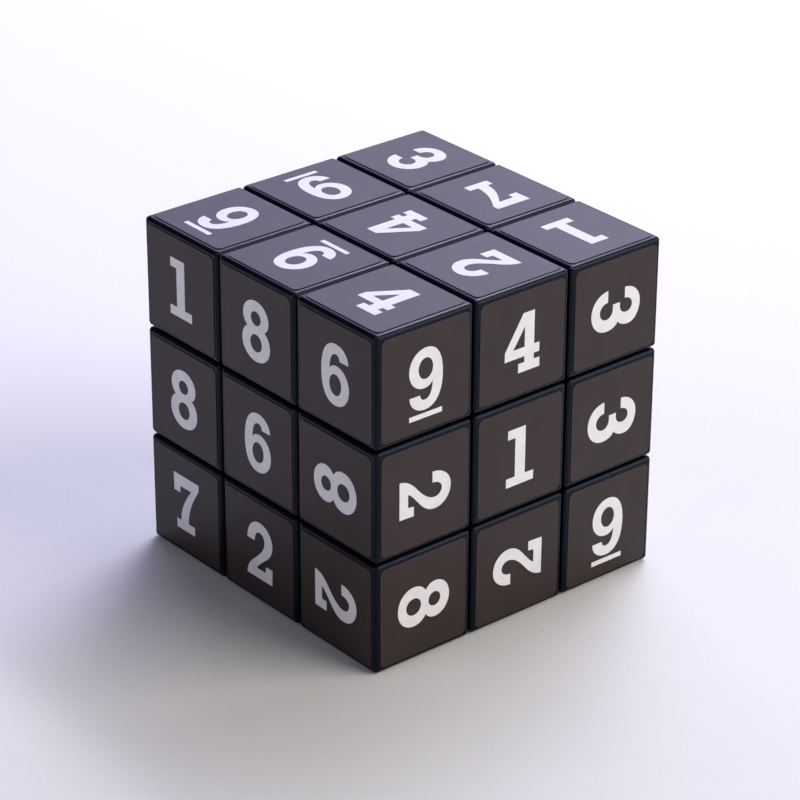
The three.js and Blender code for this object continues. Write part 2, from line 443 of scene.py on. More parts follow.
@dataclass(frozen=True)
class VinylSticker:
    """Semi-gloss dark vinyl with a soft peel, faint mottling, light scuffs, and pale edges that are partly
    wear and partly a painted highlight.
    """

    name: str
    colour: Colour
    mottle: Colour
    pale: Colour
    roughness: float
    shine: float
    cloud_size: float = 4 * MM
    cloud_band: Band = (0.3, 0.7)
    cloud_matt: float = 0.12
    fine_size: float = 0.35 * MM
    fine_matt: float = 0.08
    fine_height: float = 0.35
    peel_size: float = 0.9 * MM
    peel_depth: float = 1.1e-6
    scuff_size: float = 0.6 * MM
    scuff_stretch: Triple = (0.15, 1.0, 0.4)
    scuff_band: Band = (0.64, 0.8)
    scuff_matt: float = 0.06
    # The pale rim along each sticker's edge is partly wear and partly a painted highlight.
    edge_band: Band = (8.15 * MM, 8.55 * MM)
    wear_size: float = 1.2 * MM
    wear_band: Band = (0.4, 0.75)
    edge_wear_and_highlight_cover: float = 0.5

    def make(self, grid: CubeGrid) -> bpy.types.Material:
        """Builds the material.

        Args:
            grid: The cube's squares, each with its sticker in the middle.

        Returns:
            The material.
        """
        desk = ShaderDesk(self.name)
        clouds = desk.noise(self.cloud_size, detail=4.0)
        fine = desk.noise(self.fine_size)
        chafed = desk.noise(self.wear_size, detail=3.0).rise(*self.wear_band)
        # Mask of the pale rim at every sticker edge: partly wear, partly a painted highlight.
        worn = desk.near_edges(grid, *self.edge_band) * chafed
        scuffs = desk.noise(self.scuff_size, 1.0, self.scuff_stretch).rise(*self.scuff_band)
        colour = desk.tint(clouds.rise(*self.cloud_band), self.colour, self.mottle)
        matt = self.roughness + self.cloud_matt * (clouds - NOISE_MEAN) + self.fine_matt * (fine - NOISE_MEAN)
        return desk.finish({
            "Base Color": desk.tint(self.edge_wear_and_highlight_cover * worn, colour, self.pale),
            "Specular IOR Level": self.shine,
            "Roughness": matt + self.scuff_matt * scuffs,
            "Normal": desk.relief(desk.noise(self.peel_size) + self.fine_height * fine, self.peel_depth),
        })


@dataclass(frozen=True)
class ScreenPrint:
    """Pale ink laid through a screen: slightly uneven and pitted, with a dry surface."""

    name: str
    colour: Colour
    thin: Colour
    roughness: float
    uneven_size: float = 1.4 * MM
    uneven_band: Band = (0.25, 0.75)
    uneven_cover: float = 0.6
    pit_spacing: float = 1.1 * MM
    pit_radius: float = 0.07 * MM
    pit_cover: float = 0.6
    fine_size: float = 0.2 * MM
    fine_matt: float = 0.12
    fine_depth: float = 1.2e-6

    def make(self, grid: CubeGrid) -> bpy.types.Material:
        """Builds the material.

        Args:
            grid: The cube's squares, which the ink ignores.

        Returns:
            The material.
        """
        desk = ShaderDesk(self.name)
        uneven = desk.noise(self.uneven_size, detail=4.0).rise(*self.uneven_band)
        fine = desk.noise(self.fine_size)
        pits = desk.specks(self.pit_spacing, self.pit_radius) * self.pit_cover
        ink = desk.tint(uneven * self.uneven_cover, self.colour, self.thin)
        return desk.finish({
            "Base Color": desk.tint(pits, ink, self.thin),
            "Roughness": self.roughness + self.fine_matt * (fine - NOISE_MEAN),
            "Normal": desk.relief(fine, self.fine_depth),
        })


@dataclass(frozen=True)
class PlatedSteel:
    """Zinc-plated steel with a clouded, finely drawn surface."""

    name: str
    colour: Colour
    dull: Colour
    roughness: float
    cloud_size: float = 1.0 * MM
    cloud_band: Band = (0.3, 0.7)
    cloud_matt: float = 0.15
    drawn_size: float = 0.1 * MM
    drawn_stretch: Triple = (1.0, 1.0, 0.2)
    drawn_matt: float = 0.1
    drawn_depth: float = 0.8e-6

    def make(self, grid: CubeGrid) -> bpy.types.Material:
        """Builds the material.

        Args:
            grid: The cube's squares, which the steel ignores.

        Returns:
            The material.
        """
        desk = ShaderDesk(self.name)
        clouds = desk.noise(self.cloud_size, detail=4.0).rise(*self.cloud_band)
        drawn = desk.noise(self.drawn_size, stretch=self.drawn_stretch)
        matt = self.roughness + self.cloud_matt * clouds
        return desk.finish({
            "Base Color": desk.tint(clouds, self.colour, self.dull),
            "Metallic": 1.0,
            "Roughness": matt + self.drawn_matt * (drawn - NOISE_MEAN),
            "Normal": desk.relief(drawn, self.drawn_depth),
        })


@dataclass(frozen=True)
class MattPaper:
    """Pale matt floor paper with a barely visible tooth, which fades into the backdrop far off."""

    name: str
    colour: Colour
    shade: Colour
    far_glow: Colour
    roughness: float = 0.9
    shine: float = 0.1
    tooth_size: float = 0.6 * MM
    tooth_band: Band = (0.3, 0.7)
    glow_band: Band = (0.4, 1.15)

    def make(self) -> bpy.types.Material:
        """Builds the material.

        Returns:
            The material.
        """
        desk = ShaderDesk(self.name)
        tooth = desk.noise(self.tooth_size, detail=3.0)
        reach = desk.out("ShaderNodeVectorMath", {"operation": "LENGTH"}, {0: desk.where}, "Value")
        return desk.finish({
            "Base Color": desk.tint(tooth.rise(*self.tooth_band), self.colour, self.shade),
            "Emission Color": desk.tint(reach.rise(*self.glow_band), NO_LIGHT, self.far_glow),
            "Emission Strength": 1.0,
            "Roughness": self.roughness,
            "Specular IOR Level": self.shine,
        })


class Slot(Enum):
    """The record's material slots."""

    BLACK_PLASTIC = "black_plastic"
    CORE_PLASTIC = "core_plastic"
    STEEL = "steel"
    STICKER = "sticker"
    DIGIT_PRINT = "digit_print"


FINISHES = {
    Slot.BLACK_PLASTIC: MouldedPlastic(
        name="black_plastic",
        colour=(0.0025, 0.003, 0.006, 1.0),
        rubbed=(0.006, 0.007, 0.012, 1.0),
        roughness=0.18,
        shine=0.16,
        sheen=(0.6, 0.7, 1.0, 1.0),
    ),
    Slot.CORE_PLASTIC: MouldedPlastic(
        name="core_plastic",
        colour=(0.68, 0.66, 0.6, 1.0),
        rubbed=(0.72, 0.7, 0.65, 1.0),
        roughness=0.45,
        shine=0.5,
        sheen=(1.0, 1.0, 1.0, 1.0),
    ),
    Slot.STEEL: PlatedSteel(
        name="steel",
        colour=(0.46, 0.48, 0.5, 1.0),
        dull=(0.36, 0.37, 0.38, 1.0),
        roughness=0.25,
    ),
    Slot.STICKER: VinylSticker(
        name="sticker",
        colour=(0.027, 0.0172, 0.0152, 1.0),
        mottle=(0.032, 0.021, 0.0185, 1.0),
        # The pale edge colour is partly wear and partly a painted highlight.
        pale=(0.05, 0.041, 0.039, 1.0),
        roughness=0.42,
        shine=0.27,
    ),
    Slot.DIGIT_PRINT: ScreenPrint(
        name="digit_print",
        colour=(0.84, 0.83, 0.84, 1.0),
        thin=(0.74, 0.73, 0.75, 1.0),
        roughness=0.5,
    ),
}
FLOOR_PAPER = MattPaper(
    name="floor_paper",
    colour=(0.94, 0.94, 0.94, 1.0),
    shade=(0.92, 0.92, 0.925, 1.0),
    far_glow=(0.52, 0.52, 0.47, 1.0),
)


class Face(Enum):
    """A face of the cube: its outward, rightward and upward directions, seen square on."""

    TOP = ((0, 0, 1), (1, 0, 0), (0, 1, 0))
    BOTTOM = ((0, 0, -1), (1, 0, 0), (0, -1, 0))
    FRONT = ((0, -1, 0), (1, 0, 0), (0, 0, 1))
    BACK = ((0, 1, 0), (-1, 0, 0), (0, 0, 1))
    LEFT = ((-1, 0, 0), (0, -1, 0), (0, 0, 1))
    RIGHT = ((1, 0, 0), (0, 1, 0), (0, 0, 1))

    @property
    def outward(self) -> Vector:
        """The direction that the face looks in."""
        return Vector(self.value[0])

    @property
    def rightward(self) -> Vector:
        """The direction to the right on the face."""
        return Vector(self.value[1])

    @property
    def upward(self) -> Vector:
        """The direction upwards on the face."""
        return Vector(self.value[2])


class Turn(Enum):
    """Where the top of a digit points, with its quarter turns clockwise."""

    UP = ("^", 0)
    RIGHT = (">", 1)
    DOWN = ("v", 2)
    LEFT = ("<", 3)

    @classmethod
    def from_mark(cls, mark: str) -> "Turn":
        """The turn that a layout's mark stands for."""
        return next(turn for turn in cls if turn.value[0] == mark)

    @property
    def angle(self) -> float:
        """The turn about the outward direction, in radians."""
        return -self.value[1] * math.pi / 2


# Each face's digits, row by row from its top left, with the way that each digit's top points.
LAYOUT = {
    Face.FRONT: ("1^ 8^ 6^", "8^ 6^ 8<", "7^ 2^ 2>"),
    Face.RIGHT: ("9^ 4^ 3>", "2> 1^ 3>", "8> 2< 9^"),
    Face.TOP: ("3^ 7> 1>", "9> 4v 2v", "9^ 9v 4^"),
    Face.BACK: ("5^ 7< 1^", "6v 5> 4^", "3< 6^ 7^"),
    Face.LEFT: ("4> 5^ 6<", "7^ 3^ 5v", "1^ 5^ 8<"),
    Face.BOTTOM: ("6^ 4< 8>", "2^ 7^ 5<", "3v 9^ 1>"),
}
LAYER_BODIES = {1: "top_layer", 0: "core", -1: "bottom_layer"}


@dataclass(frozen=True)
class Square:
    """One sticker with its digit, by its face and its steps right and up from the face's middle."""

    face: Face
    across: int
    up: int
    digit: int
    turn: Turn

    @classmethod
    def every(cls) -> list["Square"]:
        """Every square of the layout.

        Returns:
            The squares, face by face.
        """
        squares = []
        for face, rows in LAYOUT.items():
            for row, marks in enumerate(rows):
                for column, (digit, turn) in enumerate(marks.split()):
                    squares.append(cls(face, column - 1, 1 - row, int(digit), Turn.from_mark(turn)))
        return squares

    @property
    def body(self) -> str:
        """The body that the piece under this square belongs to.

        Returns:
            The body's name.
        """
        if self.across == 0 and self.up == 0:
            return f"{self.face.name.lower()}_centre"
        steps = self.face.outward + self.across * self.face.rightward + self.up * self.face.upward
        return LAYER_BODIES[round(steps.z)]

    def place(self, grid: CubeGrid, shift: Vector, twist: float) -> Matrix:
        """Where the square's sticker lies.

        Args:
            grid: The cube's squares.
            shift: How far the sticker was laid off the middle, right and up, in metres.
            twist: How far it was laid askew, in radians.

        Returns:
            The matrix from a flat sticker's own frame to the cube's.
        """
        face = self.face
        spot = grid.centre + face.outward * grid.half
        spot += face.rightward * (self.across * grid.pitch + shift.x)
        spot += face.upward * (self.up * grid.pitch + shift.y)
        axes = Matrix((face.rightward, face.upward, face.outward)).transposed().to_4x4()
        return Matrix.Translation(spot) @ axes @ Matrix.Rotation(self.turn.angle + twist, 4, "Z")


class Pen:
    """Draws one closed outline of straight lines and curves, in millimetres."""

    ROUND = 0.56

    def __init__(self, x: float, y: float) -> None:
        """Puts the pen down."""
        self.stops = [Vector((x, y, 0))]
        self.controls: list[tuple[Vector, Vector] | None] = []

    def line(self, *points: tuple[float, float]) -> "Pen":
        """Draws straight on through some points.

        Args:
            points: Where the line goes, in order.

        Returns:
            The pen.
        """
        for x, y in points:
            self.controls.append(None)
            self.stops.append(Vector((x, y, 0)))
        return self

    def bend(self, first: tuple[float, float], last: tuple[float, float], x: float, y: float) -> "Pen":
        """Draws a free curve.

        Args:
            first: The point that the curve sets off towards.
            last: The point that it comes in from.
            x: Where it ends.
            y: Where it ends.

        Returns:
            The pen.
        """
        self.controls.append((Vector((*first, 0)), Vector((*last, 0))))
        self.stops.append(Vector((x, y, 0)))
        return self

    def climb(self, x: float, y: float) -> "Pen":
        """Draws a quarter of an ellipse that sets off upright and comes in level.

        Args:
            x: Where it ends.
            y: Where it ends.

        Returns:
            The pen.
        """
        here = self.stops[-1]
        first = (here.x, here.y + self.ROUND * (y - here.y))
        return self.bend(first, (x - self.ROUND * (x - here.x), y), x, y)

    def swing(self, x: float, y: float) -> "Pen":
        """Draws a quarter of an ellipse that sets off level and comes in upright.

        Args:
            x: Where it ends.
            y: Where it ends.

        Returns:
            The pen.
        """
        here = self.stops[-1]
        first = (here.x + self.ROUND * (x - here.x), here.y)
        return self.bend(first, (x, y - self.ROUND * (y - here.y)), x, y)

    def spline(self, curve: bpy.types.Curve) -> None:
        """Adds the outline to a flat curve, closing it.

        Args:
            curve: The curve that takes it.
        """
        stops, controls = self.stops, list(self.controls)
        if (stops[-1] - stops[0]).length < MERGE:
            stops = stops[:-1]
        else:
            controls.append(None)
        spline = curve.splines.new("BEZIER")
        spline.use_cyclic_u = True
        spline.bezier_points.add(len(stops) - 1)
        for index, (knot, stop) in enumerate(zip(spline.bezier_points, stops)):
            knot.co = stop
            before, after = controls[index - 1], controls[index]
            knot.handle_left_type = "FREE" if before else "VECTOR"
            knot.handle_right_type = "FREE" if after else "VECTOR"
            knot.handle_left = before[1] if before else stop
            knot.handle_right = after[0] if after else stop


def ellipse(x: float, y: float, across: float, up: float) -> Pen:
    """Draws a closed ellipse.

    Args:
        x: Its middle.
        y: Its middle.
        across: Half its width.
        up: Half its height.

    Returns:
        The pen that drew it.
    """
    pen = Pen(x + across, y).climb(x, y + up).swing(x - across, y)
    return pen.climb(x, y - up).swing(x + across, y)


@dataclass(frozen=True)
class SlabDigits:
    """Bold digits with square slab ends, in millimetres about their own middle."""

    # Half the height of a digit with flat ends, and of one with round ends.
    flat: float = 5.0
    round: float = 5.2
    stem: float = 2.1
    slab: float = 1.6
    bar_gap: float = 0.5
    bar_width: float = 6.5
    bar_height: float = 0.85
    curve_steps: int = 10

    def one(self) -> list[Pen]:
        """A stem on a wide foot, with a flag.

        Returns:
            The outlines.
        """
        side, foot, flag = self.stem / 2, 2.85, 2.6
        under, over = self.slab - self.flat, self.flat - self.slab
        pen = Pen(-foot, -self.flat).line((foot, -self.flat), (foot, under), (side, under))
        pen.line((side, self.flat), (-flag, self.flat), (-flag, over), (-side, over))
        return [pen.line((-side, under), (-foot, under))]

    def two(self) -> list[Pen]:
        """A hook that runs down into a foot with a risen end.

        Returns:
            The outlines.
        """
        base, foot = -self.round + 0.1, -self.round + 0.1 + self.slab + 0.1
        pen = Pen(-3.15, 1.45).line((-1.25, 1.45)).climb(0.05, 3.35).swing(1.33, 2.0)
        pen.bend((1.33, 0.7), (0.3, -0.4), -1.1, -1.6).bend((-2.3, -2.6), (-3.2, -3.6), -3.3, base)
        pen.line((3.2, base), (3.3, -2.25), (1.65, -2.25), (1.5, foot), (-0.8, foot))
        pen.bend((-0.3, -2.6), (0.8, -1.75), 1.7, -1.0).bend((2.75, -0.1), (3.35, 0.8), 3.35, 2.0)
        return [pen.climb(0.05, self.round - 0.05).swing(-3.15, 1.45)]

    def three(self) -> list[Pen]:
        """Two open bowls that meet at a short bar.

        Returns:
            The outlines.
        """
        pen = Pen(-3.2, 1.9).line((-1.3, 1.9)).climb(0.05, 3.5).swing(1.2, 2.3)
        pen.climb(-0.1, 0.9).line((-0.85, 0.9), (-0.85, -0.6), (-0.1, -0.6))
        pen.swing(1.42, -1.95).climb(0.0, -3.4).swing(-1.5, -1.7).line((-3.5, -1.7))
        pen.climb(0.0, -self.round).swing(3.5, -1.95).bend((3.5, -0.75), (3.1, 0.1), 2.4, 0.5)
        pen.bend((3.0, 0.95), (3.34, 1.75), 3.34, 2.75).climb(0.05, self.round).swing(-3.2, 1.9)
        return [pen]

    def four(self) -> list[Pen]:
        """A slanted stroke, a bar and a stem on its foot, round an open triangle.

        Returns:
            The outlines.
        """
        left, right, under = 0.45, 0.45 + 1.95, self.slab - self.flat
        pen = Pen(-3.6, -2.4).line((-3.6, -0.8), (0.1, self.flat), (right, self.flat), (right, -0.8))
        pen.line((3.5, -0.8), (3.5, -2.4), (right, -2.4), (right, under), (3.6, under), (3.6, -self.flat))
        pen.line((-0.8, -self.flat), (-0.8, under), (left, under), (left, -2.4))
        return [pen, Pen(left, 2.7).line((left, -0.8), (-1.9, -0.8))]

    def five(self) -> list[Pen]:
        """A bar and a short stem over an open bowl.

        Returns:
            The outlines.
        """
        pen = Pen(-2.75, self.flat).line((2.9, self.flat), (2.9, 3.3), (-1.05, 3.3), (-1.15, 1.25))
        pen.bend((-0.6, 1.55), (-0.05, 1.7), 0.5, 1.7).swing(3.5, -1.65).climb(0.0, -self.round)
        pen.swing(-3.5, -2.0).line((-1.5, -2.0)).climb(0.0, -3.4).swing(1.45, -1.65).climb(0.05, 0.05)
        return [pen.bend((-0.55, 0.05), (-0.95, -0.2), -1.3, -0.65).line((-3.1, -0.25))]

    def six(self) -> list[Pen]:
        """A closed bowl under a curved stroke.

        Returns:
            The outlines.
        """
        pen = Pen(3.2, 2.55).climb(0.2, self.round).bend((-2.1, self.round), (-3.32, 3.1), -3.32, -0.2)
        pen.bend((-3.32, -3.4), (-2.1, -self.round), 0.0, -self.round).swing(3.32, -1.7).climb(0.35, 1.57)
        pen.bend((-0.35, 1.57), (-0.95, 1.25), -1.33, 0.68).bend((-1.3, 2.4), (-0.75, 3.5), 0.22, 3.5)
        return [pen.swing(1.12, 2.55), ellipse(0.05, -1.72, 1.43, 1.78)]

    def seven(self) -> list[Pen]:
        """A bar with a hung end over a leaning stroke on a foot.

        Returns:
            The outlines.
        """
        foot, bar = self.slab - self.flat, 2.95
        pen = Pen(-3.4, self.flat).line((3.4, self.flat), (3.35, 3.75))
        pen.bend((1.9, 1.75), (0.5, -0.6), 0.4, foot).line((2.1, foot), (2.1, -self.flat))
        pen.line((-2.75, -self.flat), (-2.75, foot), (-1.6, foot)).bend((-1.6, -1.2), (-0.3, 0.9), 1.35, bar)
        return [pen.line((-1.6, bar), (-1.7, 1.7), (-3.3, 1.7))]

    def eight(self) -> list[Pen]:
        """Two closed bowls, the lower one larger.

        Returns:
            The outlines.
        """
        waist, upper, lower = (2.14, 0.42), (3.2, 2.35), (3.5, -2.05)
        pen = Pen(0.0, self.round).swing(-upper[0], upper[1])
        pen.bend((-upper[0], 1.5), (-2.8, 0.85), -waist[0], waist[1])
        pen.bend((-3.0, -0.05), (-lower[0], -0.95), -lower[0], lower[1]).climb(0.0, -self.round)
        pen.swing(lower[0], lower[1]).bend((lower[0], -0.95), (3.0, -0.05), waist[0], waist[1])
        pen.bend((2.8, 0.85), (upper[0], 1.5), upper[0], upper[1]).climb(0.0, self.round)
        return [pen, ellipse(0.0, 2.2, 1.24, 1.2), ellipse(0.0, -2.02, 1.47, 1.5)]

    def nine(self) -> list[Pen]:
        """A six turned half round, over a bar that tells the two apart.

        Returns:
            The outlines.
        """
        turned = self.six()
        for pen in turned:
            pen.stops = [-stop for stop in pen.stops]
            pen.controls = [pair and (-pair[0], -pair[1]) for pair in pen.controls]
        side, top = self.bar_width / 2, -self.round - self.bar_gap
        low = top - self.bar_height
        return [*turned, Pen(-side, top).line((side, top), (side, low), (-side, low))]

    def shapes(self) -> list[list[Pen]]:
        """Draws the digits from 1 to 9.

        Returns:
            Each digit's outlines.
        """
        return [
            self.one(),
            self.two(),
            self.three(),
            self.four(),
            self.five(),
            self.six(),
            self.seven(),
            self.eight(),
            self.nine(),
        ]


class PieceMaker:
    """Gives finished meshes the material of their slot and their body, and reports them."""

    def __init__(self, grid: CubeGrid) -> None:
        """Makes every finish once."""
        self.grid = grid
        self.materials = {slot: finish.make(grid) for slot, finish in FINISHES.items()}

    def settle(
        self, name: str, mesh: bpy.types.Mesh, body: str, slot: Slot, nodes: tuple[str, ...] = ()
    ) -> bpy.types.Object:
        """Puts a finished mesh in the scene.

        Args:
            name: The piece's name.
            mesh: Its mesh, in the cube's frame.
            body: The body that it rides on.
            slot: The material slot that it takes its finish from.
            nodes: The solids that it stands for.

        Returns:
            The piece.
        """
        piece = bpy.data.objects.new(name, mesh)
        mesh.name = name
        mesh.materials.clear()
        mesh.materials.append(self.materials[slot])
        bpy.context.scene.collection.objects.link(piece)
        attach(piece, body)
        if nodes:
            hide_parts(*nodes)
        LOG.info("%s rides on %s with %d faces", name, body, len(mesh.polygons))
        return piece


@dataclass
class Mouldings:
    """The corner, edge and centre pieces, whose outer edges get a smooth fillet, and the parts inside."""

    fillet: float = 0.7 * MM
    facets: int = 2
    facet_slack: float = 1.1
    cuts: int = 3
    flat_angle: float = math.radians(0.5)
    crease_angle: float = math.radians(35)
    shelled: tuple[str, ...] = ("corner_", "edge_", "cap_")

    def round_edges(self, shape: bmesh.types.BMesh, grid: CubeGrid) -> None:
        """Divides the facets of the outer fillets and moves their points onto the true rounding.

        Args:
            shape: One piece, with its points merged.
            grid: The cube's squares.
        """
        chord = 2 * self.fillet * math.sin(math.pi / (4 * self.facets))
        outer = grid.half - self.fillet - MERGE
        flat = grid.square / 2 - self.fillet

        def outside(vertex: bmesh.types.BMVert) -> bool:
            """Whether a point lies in the outer fillets of the whole cube."""
            return max(map(abs, vertex.co - grid.centre)) > outer

        short = [
            edge for edge in shape.edges
            if edge.calc_length() < self.facet_slack * chord and all(map(outside, edge.verts))
        ]
        bmesh.ops.subdivide_edges(shape, edges=short, cuts=self.cuts, use_grid_fill=True)
        for vertex in filter(outside, shape.verts):
            steps = vertex.co - grid.centre
            middle = grid.centre + grid.pitch * Vector(round(step / grid.pitch) for step in steps)
            local = vertex.co - middle
            inner = Vector(max(-flat, min(flat, value)) for value in local)
            reach = local - inner
            if sum(abs(value) > MERGE for value in reach) > 1:
                vertex.co = middle + inner + reach.normalized() * self.fillet

    def mesh(self, node: bpy.types.Object, grid: CubeGrid) -> bpy.types.Mesh:
        """Copies a solid's mesh, merged and with smooth outer edges.

        Args:
            node: The solid's object.
            grid: The cube's squares.

        Returns:
            The new mesh.
        """
        shape = bmesh.new()
        shape.from_mesh(node.data)
        bmesh.ops.remove_doubles(shape, verts=shape.verts, dist=MERGE)
        bmesh.ops.dissolve_limit(shape, angle_limit=self.flat_angle, verts=shape.verts, edges=shape.edges)
        self.round_edges(shape, grid)
        for face in shape.faces:
            face.smooth = True
        for edge in shape.edges:
            edge.smooth = edge.calc_face_angle(0.0) < self.crease_angle
        mesh = bpy.data.meshes.new(f"{node.name}_moulding")
        shape.to_mesh(mesh)
        shape.free()
        return mesh

    def dress(self, frame: dict, maker: PieceMaker) -> None:
        """Makes the outer pieces and paints the inner ones.

        Args:
            frame: The loaded frame.
            maker: What settles the pieces.
        """
        slots = {part["node"]: Slot(part["material_slot"]) for part in frame["record"]["subparts"]}
        bodies = frame["record"]["behaviour"]["bodies"]
        owner = {node: body for body, nodes in bodies.items() for node in nodes}
        for name, node in sorted(frame["nodes"].items()):
            if name.startswith(self.shelled):
                mesh = self.mesh(node, maker.grid)
                piece = maker.settle(f"{name}_moulding", mesh, owner[name], slots[name], (name,))
                piece.modifiers.new("flat_faces", "WEIGHTED_NORMAL").keep_sharp = True
            else:
                node.data.materials.clear()
                node.data.materials.append(maker.materials[slots[name]])
                LOG.info("%s keeps its solid, in %s", name, slots[name].value)


def plain_mesh(shape: bpy.types.Object) -> bpy.types.Mesh:
    """Works out a curve's or modifier's result.

    Args:
        shape: An object of the scene.

    Returns:
        The result as a new mesh.
    """
    graph = bpy.context.evaluated_depsgraph_get()
    return bpy.data.meshes.new_from_object(shape.evaluated_get(graph), depsgraph=graph)


class GeometryTree(NodeDesk):
    """A Geometry Nodes tree with named inputs."""

    def __init__(self, name: str) -> None:
        """Starts a tree that takes and gives geometry.

        Args:
            name: The tree's name.
        """
        super().__init__(bpy.data.node_groups.new(name, "GeometryNodeTree"))
        self.identifiers: dict[str, str] = {}
        self.entry = self.tree.nodes.new("NodeGroupInput")
        self.takes("Geometry", "NodeSocketGeometry")
        self.tree.interface.new_socket("Geometry", in_out="OUTPUT", socket_type="NodeSocketGeometry")

    def takes(self, name: str, kind: str) -> Signal:
        """Adds a named input.

        Args:
            name: The input's name.
            kind: Blender's name for its socket type.

        Returns:
            The input, for the nodes inside.
        """
        item = self.tree.interface.new_socket(name, in_out="INPUT", socket_type=kind)
        self.identifiers[name] = item.identifier
        return Signal(self, self.entry.outputs[name])

    def attribute(self, name: str, kind: str) -> Signal:
        """Reads an attribute of the points.

        Args:
            name: The attribute's name.
            kind: Its data type.

        Returns:
            The values.
        """
        return self.out("GeometryNodeInputNamedAttribute", {"data_type": kind}, {"Name": name})

    def lay(self, instance: Signal, picks: dict[str, object]) -> None:
        """Ends the tree: lays instances on the points, makes them real and gives them their material.

        Args:
            instance: What is laid.
            picks: Further inputs of the node that lays them.
        """
        sockets = {
            "Points": Signal(self, self.entry.outputs["Geometry"]),
            "Instance": instance,
            "Rotation": self.attribute("turn", "QUATERNION"),
            **picks,
        }
        laid = self.out("GeometryNodeInstanceOnPoints", None, sockets)
        real = self.out("GeometryNodeRealizeInstances", None, {"Geometry": laid})
        material = self.takes("Material", "NodeSocketMaterial")
        painted = self.out("GeometryNodeSetMaterial", None, {"Geometry": real, "Material": material})
        self.node("NodeGroupOutput", None, {"Geometry": painted})

    def run(self, places: list[Matrix], picks: list[int], inputs: dict[str, object]) -> bpy.types.Mesh:
        """Runs the tree on some places.

        Args:
            places: Where and which way up each instance lies.
            picks: Which of several instances goes there.
            inputs: The values of the named inputs.

        Returns:
            The result as a plain mesh, its faces pointing outwards.
        """
        points = bpy.data.meshes.new("places")
        points.from_pydata([place.translation for place in places], [], [])
        turns = points.attributes.new("turn", "QUATERNION", "POINT")
        for index, place in enumerate(places):
            turns.data[index].value = place.to_quaternion()
        which = points.attributes.new("pick", "INT", "POINT")
        which.data.foreach_set("value", picks)
        carrier = bpy.data.objects.new("places", points)
        bpy.context.scene.collection.objects.link(carrier)
        modifier = carrier.modifiers.new("lay", "NODES")
        modifier.node_group = self.tree
        for name, value in inputs.items():
            modifier[self.identifiers[name]] = value
        mesh = plain_mesh(carrier)
        bpy.data.objects.remove(carrier)
        bpy.data.meshes.remove(points)
        shape = bmesh.new()
        shape.from_mesh(mesh)
        bmesh.ops.remove_doubles(shape, verts=shape.verts, dist=MERGE)
        bmesh.ops.recalc_face_normals(shape, faces=shape.faces)
        shape.to_mesh(mesh)
        shape.free()
        return mesh


